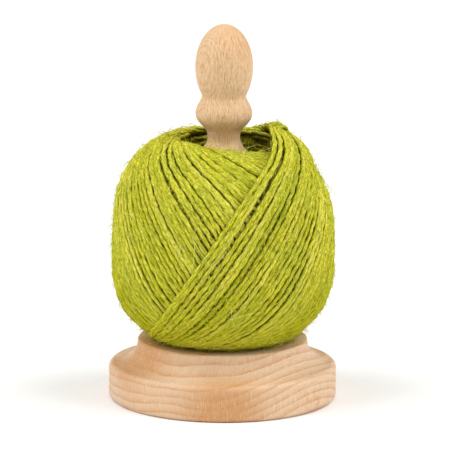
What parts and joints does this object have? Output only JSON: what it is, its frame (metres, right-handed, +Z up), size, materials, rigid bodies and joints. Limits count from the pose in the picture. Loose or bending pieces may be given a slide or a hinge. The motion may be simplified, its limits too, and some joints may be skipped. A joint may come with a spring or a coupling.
{
  "type": "ball of jute twine on a wooden stand",
  "caption": "Ball of green jute twine wound in crossing turns, on a turned beech stand with a round moulded base and an egg-shaped knob on its post.",
  "frame": {"origin": "centre of the flat underside of the base", "axes": "+Z up along the axis of the base and the post; -Y is the side where the edge of the newest turns of twine shows"},
  "size_m": [0.114, 0.114, 0.1878],
  "materials": {
    "beech": "satin",
    "jute": "matte"
  },
  "bodies": {
    "root": {"base": "beech", "post": "beech", "twine_ball": "jute"}
  },
  "joints": []
}
